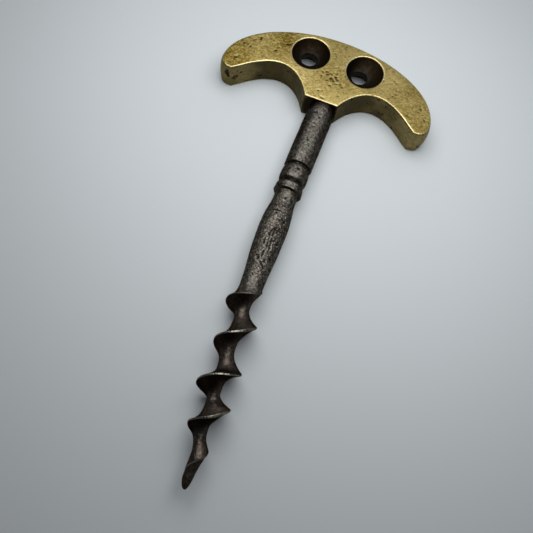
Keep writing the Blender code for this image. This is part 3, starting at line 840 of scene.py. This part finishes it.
class Graph:
    """Short calls for one material's node tree. Wavelengths are in mm."""

    def __init__(self, name):
        self.material = bpy.data.materials.new(name)
        self.material.use_nodes = True
        self.nodes = self.material.node_tree.nodes
        self.links = self.material.node_tree.links
        self.shader = self.nodes["Principled BSDF"]
        self.place = self.nodes.new("ShaderNodeTexCoord").outputs["Object"]

    def put(self, socket, value):
        if isinstance(value, bpy.types.NodeSocket):
            self.links.new(value, socket)
        else:
            socket.default_value = value

    def math(self, operation, *values, clamp=False):
        node = self.nodes.new("ShaderNodeMath")
        node.operation = operation
        node.use_clamp = clamp
        for socket, value in zip(node.inputs, values):
            self.put(socket, value)
        return node.outputs[0]

    def noise(self, wavelength, detail=2.0, stretch=(1.0, 1.0, 1.0), turn=0.0, seed=0.0):
        mapping = self.nodes.new("ShaderNodeMapping")
        if turn:
            mapping.vector_type = "TEXTURE"
            stretch = tuple(1.0 / s for s in stretch)
        mapping.inputs["Scale"].default_value = stretch
        mapping.inputs["Rotation"].default_value = (0.0, 0.0, turn)
        mapping.inputs["Location"].default_value = (seed * MM,) * 3
        self.links.new(self.place, mapping.inputs["Vector"])
        node = self.nodes.new("ShaderNodeTexNoise")
        node.inputs["Scale"].default_value = 1.0 / (wavelength * MM)
        node.inputs["Detail"].default_value = detail
        self.links.new(mapping.outputs[0], node.inputs["Vector"])
        return node.outputs["Fac"]

    def spread(self, value, low, high, out_low=0.0, out_high=1.0):
        node = self.nodes.new("ShaderNodeMapRange")
        node.interpolation_type = "SMOOTHSTEP"
        for socket, item in zip(node.inputs, (value, low, high, out_low, out_high)):
            self.put(socket, item)
        return node.outputs[0]

    def patches(self, wavelength, detail, seed, low, high):
        """Noise mask: 0 where the noise is under low, and 1 where it is over high."""
        return self.spread(self.noise(wavelength, detail, seed=seed), low, high)

    def attribute(self, name):
        node = self.nodes.new("ShaderNodeAttribute")
        node.attribute_name = name
        return node.outputs["Fac"]

    def mix(self, share, first, second):
        node = self.nodes.new("ShaderNodeMix")
        node.data_type = "RGBA"
        self.put(node.inputs[0], share)
        for socket, value in ((node.inputs[6], first), (node.inputs[7], second)):
            self.put(socket, (*value, 1.0) if isinstance(value, tuple) else value)
        return node.outputs[2]

    def cover(self, color, masks, layers):
        """Lays each layer (share, colour) over the colour in turn, as far as its mask."""
        for name, (share, paint) in layers.items():
            color = self.mix(self.math("MULTIPLY", masks[name], share), color, paint)
        return color

    def add_up(self, total, masks, weights):
        for name, weight in weights.items():
            part = self.math("MULTIPLY", masks[name], weight)
            total = self.math("ADD", total, part, clamp=True)
        return total

    def bump(self, height, distance, strength, normal=None):
        node = self.nodes.new("ShaderNodeBump")
        node.inputs["Strength"].default_value = strength
        node.inputs["Distance"].default_value = distance * MM
        self.links.new(height, node.inputs["Height"])
        if normal is not None:
            self.links.new(normal, node.inputs["Normal"])
        return node.outputs[0]

    def finish(self, color, roughness, normal):
        self.links.new(color, self.shader.inputs["Base Color"])
        self.links.new(roughness, self.shader.inputs["Roughness"])
        self.links.new(normal, self.shader.inputs["Normal"])
        return self.material


# Colours are linear. Layers are (share, colour), laid on in this order.
# A noise mask is (wavelength, detail, seed, noise where it is 0, noise where it is 1).

BRASS_TINT = (0.75, 0.72, 0.62, 1.0)
BRASS_NOISE = {
    "mottle": (1.5, 4.0, 40.0, 0.35, 0.68),
    "speck": (0.7, 2.0, 120.0, 0.6, 0.7),
    "worn": (4.0, 2.0, 300.0, 0.42, 0.6),
}
BRASS_GRAIN = {"wavelength": 0.62, "detail": 3.0, "seed": 80.0}
BRASS_GRAIN_BAND = (0.42, 0.66)
# scratches run two ways: wavelength, turn, seed and band
SCRATCHES = ((0.42, 0.5, 10.0, (0.6, 0.68)), (0.4, -0.9, 30.0, (0.62, 0.7)))
SCRATCH_DETAIL, SCRATCH_STRETCH = 1.0, (0.04, 1.0, 1.0)
BRASS_BRIGHT, BRASS_TARNISHED = (0.53, 0.415, 0.172), (0.13, 0.081, 0.006)
BRASS_LAYERS = {
    "mottle": (0.45, (0.145, 0.103, 0.028)),
    "grain": (0.42, (0.52, 0.41, 0.145)),
    "speck": (0.7, (0.06, 0.042, 0.016)),
    "scratch": (0.35, (0.66, 0.56, 0.25)),
    # dull patina and painted shade laid over every wall of the handle
    "dull_patina_and_shade": (1.0, (0.176, 0.14, 0.066)),
    # dirt and painted shade on the walls
    "dirt_and_shade": (0.82, (0.032, 0.023, 0.011)),
    # stain and painted shade on the boss's lower face round the shank
    "stain_and_shade": (0.95, (0.012, 0.007, 0.004)),
    "crease": (0.6, (0.06, 0.042, 0.018)),
    "pit": (0.9, (0.024, 0.017, 0.01)),
}
DULL_PATINA_AND_SHADE_LEAST, DULL_PATINA_AND_SHADE_MOST, BRASS_CREASE = 0.6, 0.85, (0.5, 0.25)
# the eyes' bowls, from the rim to the waist: dark patina, with a painted sheen that lightens it
# deeper in and greys it at the waist
CUP_RIM, CUP_DEEP = (0.014, 0.008, 0.004), (0.022, 0.015, 0.009)
CUP_BAND, CUP_WAIST_SHEEN_BAND = (0.1, 0.7), (0.78, 1.0)
CUP_LAYERS = {
    # painted sheen: a grey ring at the waist
    "waist": (1.0, (0.028, 0.026, 0.024)),
    "mottle": (0.6, (0.01, 0.007, 0.003)),
}
# the rounded edges: worn brass and a painted highlight
BRASS_EDGE_WEAR_AND_HIGHLIGHT = {"ridge": (0.8, (0.86, 0.77, 0.46))}
BRASS_ROUGHNESS = 0.34
BRASS_ROUGHENING = {"mottle": 0.12, "pit": 0.25, "bowl": 0.15, "ridge": -0.12}
GRAIN_BUMP, SCRATCH_BUMP = (0.1, 0.6), (0.012, 0.5)     # distance in mm, and strength

STEEL_TINT = (0.22, 0.21, 0.2, 1.0)
STEEL_NOISE = {
    "clouds": (5.0, 3.0, 7.0, 0.35, 0.65),
    "mottle": (0.75, 5.0, 60.0, 0.38, 0.64),
    "glint": (0.5, 4.0, 200.0, 0.56, 0.68),
    "patches": (1.9, 2.0, 260.0, 0.38, 0.6),
    "smut": (0.95, 4.0, 330.0, 0.56, 0.66),
    "warm": (3.2, 2.0, 150.0, 0.45, 0.7),
    "crackle": (0.52, 3.0, 400.0, 0.5, 0.58),
    "painted_glint_flecks": (0.4, 3.0, 470.0, 0.56, 0.64),
}
STEEL_GRAIN = {"wavelength": 0.42, "detail": 3.0, "seed": 90.0}
STEEL_DARK, STEEL_LIGHT = (0.072, 0.065, 0.054), (0.172, 0.158, 0.136)
STEEL_LAYERS = {
    "glint": (0.55, (0.42, 0.385, 0.33)),
    "worm": (0.66, (0.062, 0.044, 0.034)),
    "warm": (0.35, (0.07, 0.045, 0.034)),
    "clouds": (0.25, (0.035, 0.032, 0.03)),
    "smut": (0.6, (0.026, 0.023, 0.019)),
    "crackle": (0.62, (0.034, 0.028, 0.022)),
    # painted glints: bright flecks on the baluster
    "painted_glint_flecks": (0.45, (0.5, 0.45, 0.39)),
    # painted shade on the flanks that face down the shank
    "under": (0.8, (0.012, 0.008, 0.005)),
    "crease": (0.85, (0.01, 0.008, 0.007)),
    # hollows: dirt and painted shade
    "hollow_dirt_and_shade": (0.94, (0.004, 0.003, 0.002)),
    "pit": (0.8, (0.01, 0.008, 0.007)),
    # rust and painted shade at the top of the shank
    "rust_and_shade": (0.88, (0.016, 0.008, 0.006)),
    "ridge": (0.3, (0.3, 0.28, 0.24)),
    "land": (0.9, (0.3, 0.28, 0.23)),
}
STEEL_CREASE = (0.48, 0.25)
STEEL_ROUGHNESS = 0.32
STEEL_ROUGHENING = {"mottle": 0.08, "land": -0.1, "pit": 0.3}
FORGED_COARSER, STEEL_BUMP = 0.8, (0.17, 0.9)


def metal(name, tint, noises, attributes):
    """A metal graph, and its noise masks and mesh attributes by name."""
    g = Graph(name)
    g.shader.inputs["Metallic"].default_value = 1.0
    g.shader.inputs["Specular Tint"].default_value = tint
    masks = {key: g.patches(*noise) for key, noise in noises.items()}
    masks.update((key, g.attribute(key)) for key in attributes)
    return g, masks


def brass():
    g, masks = metal("aged_brass", BRASS_TINT, BRASS_NOISE, (
        "side", "grime_and_shade", "stain_and_shade", "tarnish", "bowl", "depth", "ridge", "pit", "crisp"))
    grain = g.noise(**BRASS_GRAIN)
    scratch = g.math("MAXIMUM", *(
        g.spread(g.noise(wavelength, SCRATCH_DETAIL, SCRATCH_STRETCH, turn, seed), *band)
        for wavelength, turn, seed, band in SCRATCHES))
    masks["scratch"] = g.math("MULTIPLY", scratch, masks["worn"])
    # the walls' dull patina and painted shade, varied by the mottle
    dull_patina_and_shade = g.spread(masks["mottle"], 0.0, 1.0, DULL_PATINA_AND_SHADE_LEAST, DULL_PATINA_AND_SHADE_MOST)
    masks["grain"] = g.spread(grain, *BRASS_GRAIN_BAND)
    masks["dull_patina_and_shade"] = g.math("MULTIPLY", masks["side"], dull_patina_and_shade)
    # dirt and painted shade, on the walls only
    masks["dirt_and_shade"] = g.math("MULTIPLY", masks["side"], masks["grime_and_shade"])
    masks["crease"] = g.spread(masks["crisp"], *BRASS_CREASE)
    # the painted sheen at the waist
    masks["waist"] = g.spread(masks["depth"], *CUP_WAIST_SHEEN_BAND)
    color = g.mix(masks["tarnish"], BRASS_BRIGHT, BRASS_TARNISHED)
    color = g.cover(color, masks, BRASS_LAYERS)
    cup = g.mix(g.spread(masks["depth"], *CUP_BAND), CUP_RIM, CUP_DEEP)
    cup = g.cover(cup, masks, CUP_LAYERS)
    color = g.cover(g.mix(masks["bowl"], color, cup), masks, BRASS_EDGE_WEAR_AND_HIGHLIGHT)
    rough = g.add_up(BRASS_ROUGHNESS, masks, BRASS_ROUGHENING)
    normal = g.bump(masks["scratch"], *SCRATCH_BUMP, g.bump(grain, *GRAIN_BUMP))
    return g.finish(color, rough, normal)


def steel():
    g, masks = metal("brown_steel", STEEL_TINT, STEEL_NOISE, (
        "worm", "rough_forged", "land", "under", "ridge", "hollow_dirt_and_shade", "pit", "crisp", "rust_and_shade"))
    forged = masks["rough_forged"]
    bare = g.math("MAXIMUM", masks["patches"], forged)
    masks["glint"] = g.math("MULTIPLY", masks["glint"], bare)
    for key in ("crackle", "painted_glint_flecks"):
        masks[key] = g.math("MULTIPLY", masks[key], forged)
    masks["crease"] = g.spread(masks["crisp"], *STEEL_CREASE)
    color = g.mix(masks["mottle"], STEEL_DARK, STEEL_LIGHT)
    color = g.cover(color, masks, STEEL_LAYERS)
    rough = g.add_up(STEEL_ROUGHNESS, masks, STEEL_ROUGHENING)
    coarser = g.math("ADD", 1.0, g.math("MULTIPLY", forged, FORGED_COARSER))
    height = g.math("MULTIPLY", g.noise(**STEEL_GRAIN), coarser)
    return g.finish(color, rough, g.bump(height, *STEEL_BUMP))


FLOOR_ROUGHNESS, FLOOR_SPECULAR, FLOOR_WAVELENGTH = 0.7, 0.2, 40.0
FLOOR_COLORS = ((0.565, 0.592, 0.61), (0.578, 0.605, 0.624))


def pale_paint():
    g = Graph("pale_floor")
    g.shader.inputs["Roughness"].default_value = FLOOR_ROUGHNESS
    g.shader.inputs["Specular IOR Level"].default_value = FLOOR_SPECULAR
    color = g.mix(g.noise(FLOOR_WAVELENGTH), *FLOOR_COLORS)
    g.links.new(color, g.shader.inputs["Base Color"])
    return g.material


# ---- floor, lights and camera, in metres and watts ----

FLOOR_HALF = 1.2
WORLD_COLOR, WORLD_STRENGTH = (0.93, 0.98, 1.0, 1.0), 0.11
LIGHT_COLOR = (0.98, 1.0, 1.0)
# name, place, target, size, power
SOFT_BOXES = (
    ("overhead", (-0.002, 0.049, 0.12), (-0.003, 0.045, 0.0), (0.16, 0.13), 0.197),
    ("behind", (0.0, 0.3, 0.2), (0.0, 0.05, 0.0), (0.6, 0.35), 0.36),
)
CAMERA_PLACE, CAMERA_TURN = (0.0126, -0.0629, 0.1368), (0.3731, -0.0768, 0.364)
SENSOR_WIDTH, LENS, CLIP_START = 36.0, 36.07, 0.005     # the first two in mm


def make_floor():
    mesh = bpy.data.meshes.new("floor")
    half = FLOOR_HALF
    mesh.from_pydata([(-half, -half, 0), (half, -half, 0), (half, half, 0), (-half, half, 0)],
                     [], [(0, 1, 2, 3)])
    mesh.materials.append(pale_paint())
    floor = bpy.data.objects.new("floor", mesh)
    bpy.context.scene.collection.objects.link(floor)


def soft_box(name, place, target, size, power):
    light = bpy.data.lights.new(name, "AREA")
    light.shape = "RECTANGLE"
    light.size, light.size_y = size
    light.energy = power
    light.color = LIGHT_COLOR
    item = bpy.data.objects.new(name, light)
    item.visible_camera = False
    bpy.context.scene.collection.objects.link(item)
    item.location = place
    item.rotation_euler = (Vector(target) - Vector(place)).to_track_quat("-Z", "Y").to_euler()


def make_light():
    world = bpy.data.worlds.new("studio")
    bpy.context.scene.world = world
    world.use_nodes = True
    background = world.node_tree.nodes["Background"]
    background.inputs["Color"].default_value = WORLD_COLOR
    background.inputs["Strength"].default_value = WORLD_STRENGTH
    for box in SOFT_BOXES:
        soft_box(*box)


def make_camera():
    data = bpy.data.cameras.new("camera")
    data.sensor_width = SENSOR_WIDTH
    data.lens = LENS
    data.clip_start = CLIP_START
    camera = bpy.data.objects.new("camera", data)
    bpy.context.scene.collection.objects.link(camera)
    camera.location = CAMERA_PLACE
    camera.rotation_euler = CAMERA_TURN
    bpy.context.scene.camera = camera


make_handle(brass())
make_shank(steel())
make_floor()
make_light()
make_camera()
bpy.context.scene.view_settings.view_transform = "Standard"
